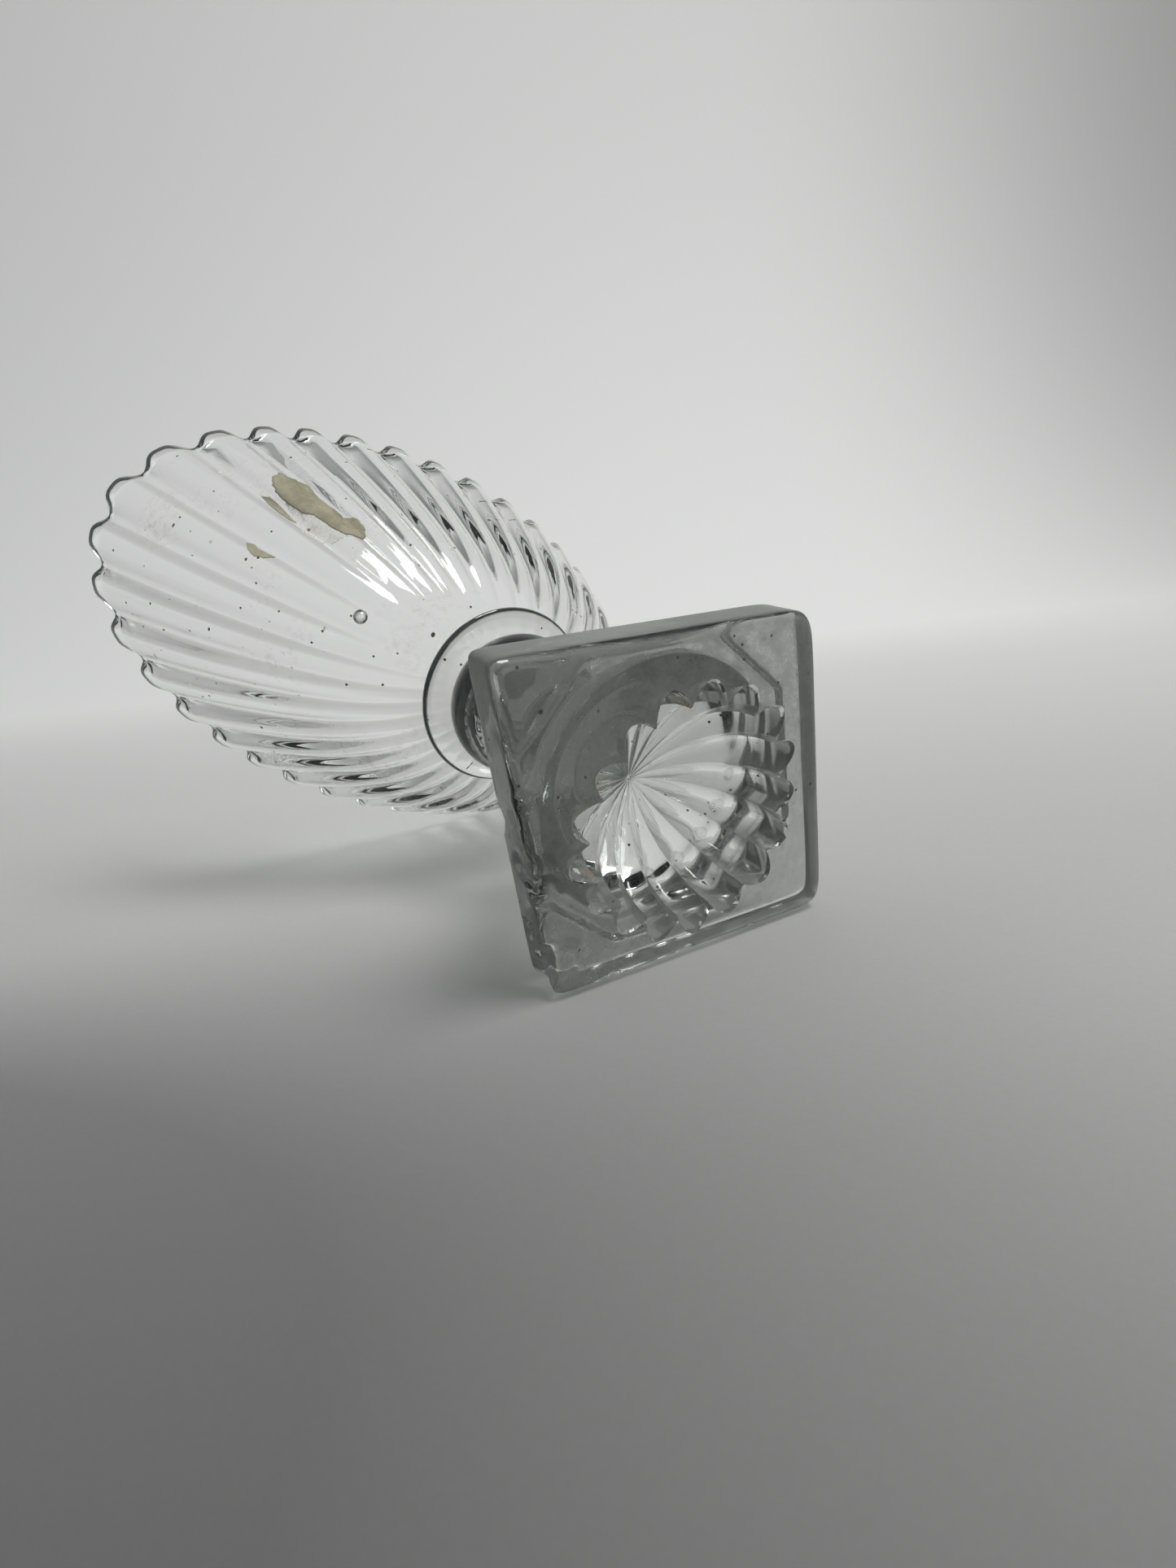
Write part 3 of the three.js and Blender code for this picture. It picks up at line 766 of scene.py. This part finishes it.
# %% Aged paper, dried paste and air
def aged_paper(name, dark, light, fibre_per_metre=1400):
    """Matt paper: a cloudy stain between two tones, and fine fibres in colour and bump."""
    material, tree = new_material(name)
    where = add(tree, "ShaderNodeTexCoord").outputs["Object"]
    stain = noise(tree, where, 260, 5, 0.6)
    fibre = noise(tree, where, fibre_per_metre, 6, 0.7, 1.2)
    tone = math_node(tree, "MULTIPLY_ADD", stain, 0.6, math_node(tree, "MULTIPLY", fibre, 0.4))
    colour = add(tree, "ShaderNodeMix", {"data_type": "RGBA"}, i0=ramp(tree, tone, 0.38, 0.62),
                 i6=linear(dark), i7=linear(light))
    bump = add(tree, "ShaderNodeBump", None, Strength=0.6, Distance=0.05 * MM, Height=fibre)
    paper = add(tree, "ShaderNodeBsdfPrincipled", None, Base_Color=colour.outputs[2], Roughness=0.92,
                Normal=bump.outputs[0])
    through = add(tree, "ShaderNodeBsdfTranslucent", None, Color=linear(light))
    both = add(tree, "ShaderNodeMixShader", None, i0=0.25, i1=paper.outputs[0], i2=through.outputs[0])
    add(tree, "ShaderNodeOutputMaterial", None, Surface=both.outputs[0])
    return material


def dried_paste(name):
    """A clear sheet with whitish crust over part of it, in flecks."""
    material, tree = new_material(name)
    where = add(tree, "ShaderNodeTexCoord").outputs["Object"]
    crust = ramp(tree, noise(tree, where, 650, 7, 0.75, 0.3), 0.38, 0.66, 0.08, 0.6)
    white = add(tree, "ShaderNodeBsdfPrincipled", None, Base_Color=linear("D3D1C6"), Roughness=0.85)
    clear = add(tree, "ShaderNodeBsdfTransparent")
    both = add(tree, "ShaderNodeMixShader", None, i0=crust, i1=clear.outputs[0], i2=white.outputs[0])
    add(tree, "ShaderNodeOutputMaterial", None, Surface=both.outputs[0])
    return material


paper_material = aged_paper("aged_label_paper", "97937E", "B9B49C")
for piece in (label_large, label_sliver, label_small):
    piece.data.materials.append(paper_material)
paste_film.data.materials.append(dried_paste("dried_paste"))
air, tree = new_material("air_in_glass")
add(tree, "ShaderNodeOutputMaterial", None,
    Surface=add(tree, "ShaderNodeBsdfGlass", None, Color=linear("FFFFFF"), Roughness=0.0, IOR=1 / GLASS_IOR).outputs[0])
bubble.data.materials.append(air)

# %% [markdown]
# ### Card of the sweep
#
# Plain matt card, with the room's light and shade painted into its colour. Painted shade makes it
# darker towards the viewer, where the room's light falls off. Near the viewer, painted light makes
# it lighter to the right and painted shade makes it darker to the left. Painted shade makes it a
# little darker towards the right of its upper part. A faint random grain is the card's own.

# %% Card
card_material, tree = new_material("card_painted_light_and_shade")
side_way = add(tree, "ShaderNodeAttribute", {"attribute_name": "sideways"}).outputs["Fac"]
long_way = add(tree, "ShaderNodeAttribute", {"attribute_name": "lengthwise"}).outputs["Fac"]
RAMP_SCALE, RAMP_START = 2.5, 0.25       # metres along the card to the colour ramp's 0 to 1
MOST_WHITE = (0.93, 0.93, 0.92)          # no card gives back more light than this
# Painted shade and light: the ramp's tones run from dark near the viewer to bright far off, and stand for the room's
# light falling off.
painted_falloff = add(tree, "ShaderNodeValToRGB", None,
           Fac=math_node(tree, "MULTIPLY_ADD", long_way, RAMP_SCALE, RAMP_START))
stops = painted_falloff.color_ramp.elements
tones = ((-0.085, 0.205), (-0.050, 0.285), (-0.020, 0.365), (0.012, 0.44), (0.056, 0.50),
         (0.20, 0.72), (0.30, 0.93))
while len(stops) < len(tones):
    stops.new(0.5)
for stop, (at, tone) in zip(stops, tones):
    stop.position = RAMP_SCALE * at + RAMP_START
    stop.color = (tone, tone, tone * 0.985, 1)
# Painted light and shade across the card: near the viewer it is lighter to the right and darker to the left, and far
# off it is darker to the right.
painted_light_near = math_node(tree, "MULTIPLY", ramp(tree, long_way, 0.02, -0.07, 0.0, 9.0), side_way)
far = math_node(tree, "MULTIPLY", ramp(tree, long_way, 0.15, 0.35),
                ramp(tree, side_way, 0.10, 0.46, 0.0, -0.42))
painted_light_gain = math_node(tree, "ADD", math_node(tree, "ADD", painted_light_near, far), 1.0)
painted_light_gain = add(tree, "ShaderNodeClamp", None, Value=painted_light_gain, Min=0.55, Max=1.8).outputs[0]
grain = noise(tree, add(tree, "ShaderNodeTexCoord").outputs["Object"], 1500, 5, 0.6)
painted_light_gain = math_node(tree, "MULTIPLY", painted_light_gain, ramp(tree, grain, 0.3, 0.7, 0.985, 1.015))
tone = add(tree, "ShaderNodeVectorMath", {"operation": "SCALE"}, i0=painted_falloff.outputs[0], Scale=painted_light_gain)
tone = add(tree, "ShaderNodeVectorMath", {"operation": "MINIMUM"}, i0=tone.outputs[0], i1=MOST_WHITE)
paper = add(tree, "ShaderNodeBsdfPrincipled", None, Base_Color=tone.outputs[0], Roughness=0.85)
clear = add(tree, "ShaderNodeBsdfTransparent")
behind = add(tree, "ShaderNodeNewGeometry").outputs["Backfacing"]
both = add(tree, "ShaderNodeMixShader", None, i0=behind, i1=paper.outputs[0], i2=clear.outputs[0])
add(tree, "ShaderNodeOutputMaterial", None, Surface=both.outputs[0])
floor.data.materials.append(card_material)

# %% [markdown]
# ## Light
#
# A pale room: brightest above and behind the salt, dim behind the viewer. One wide soft lamp
# overhead stands for a window, and its reflection makes the bright streaks on the bowl.

# %% World and lamp
world = bpy.data.worlds.new("pale_room")
bpy.context.scene.world = world
world.use_nodes = True
tree = world.node_tree
tree.nodes.clear()
direction = add(tree, "ShaderNodeTexCoord").outputs["Generated"]
toward = add(tree, "ShaderNodeVectorMath", {"operation": "DOT_PRODUCT"}, i0=direction,
             i1=tuple(-cam_back * 0.8 + table_up * 0.6)).outputs["Value"]
level = ramp(tree, toward, -0.9, 0.7, 0.33, 0.60)
shade = add(tree, "ShaderNodeBackground", None, Color=linear("F4F6F7"), Strength=level)
add(tree, "ShaderNodeOutputWorld", None, Surface=shade.outputs[0])


def area_lamp(name, toward_lamp, distance_mm, size_mm, watts, target=(-5.0, 0.0, 40.0)):
    """A rectangular lamp that faces the salt: it stands at the target plus the direction times
    the distance, and its own Z runs back along that direction."""
    data = bpy.data.lights.new(name, "AREA")
    data.shape = "RECTANGLE"
    data.size, data.size_y = size_mm[0] * MM, size_mm[1] * MM
    data.energy = watts
    lamp = bpy.data.objects.new(name, data)
    bpy.context.scene.collection.objects.link(lamp)
    toward_lamp = np.array(toward_lamp, float)
    toward_lamp /= np.linalg.norm(toward_lamp)
    spot = (np.array(target) + toward_lamp * distance_mm) * MM
    z = toward_lamp
    x = np.cross([0.0, 0.0, 1.0], z)
    x /= np.linalg.norm(x)
    m = np.eye(4)
    m[:3, 0], m[:3, 1], m[:3, 2], m[:3, 3] = x, np.cross(z, x), z, spot
    lamp.matrix_world = Matrix(m.tolist())
    return lamp


area_lamp("overhead_window", (-0.46, -0.82, -0.30), 650, (230, 300), 2.9)

# %% [markdown]
# ## Bodies and the end of the script
#
# Each visual piece rides on the one rigid body, and a piece that stands for a measured node
# hides that node.

# %% Tie the pieces to the frame
for piece, node, slot in ((foot, "pressed_foot", "pressed_glass"), (knop, "stem_knop", "pressed_glass"),
                          (collar, "collar", "blown_glass"), (bowl, "bowl", "blown_glass"),
                          (bubble, None, "blown_glass"), (paste_film, None, "aged_paper"),
                          (label_large, "label_scrap_large", "aged_paper"),
                          (label_sliver, "label_scrap_sliver", "aged_paper"),
                          (label_small, "label_scrap_small", "aged_paper")):
    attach(piece, "root")
    if node:
        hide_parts(node)

scene = bpy.context.scene
scene.view_settings.view_transform = "Standard"
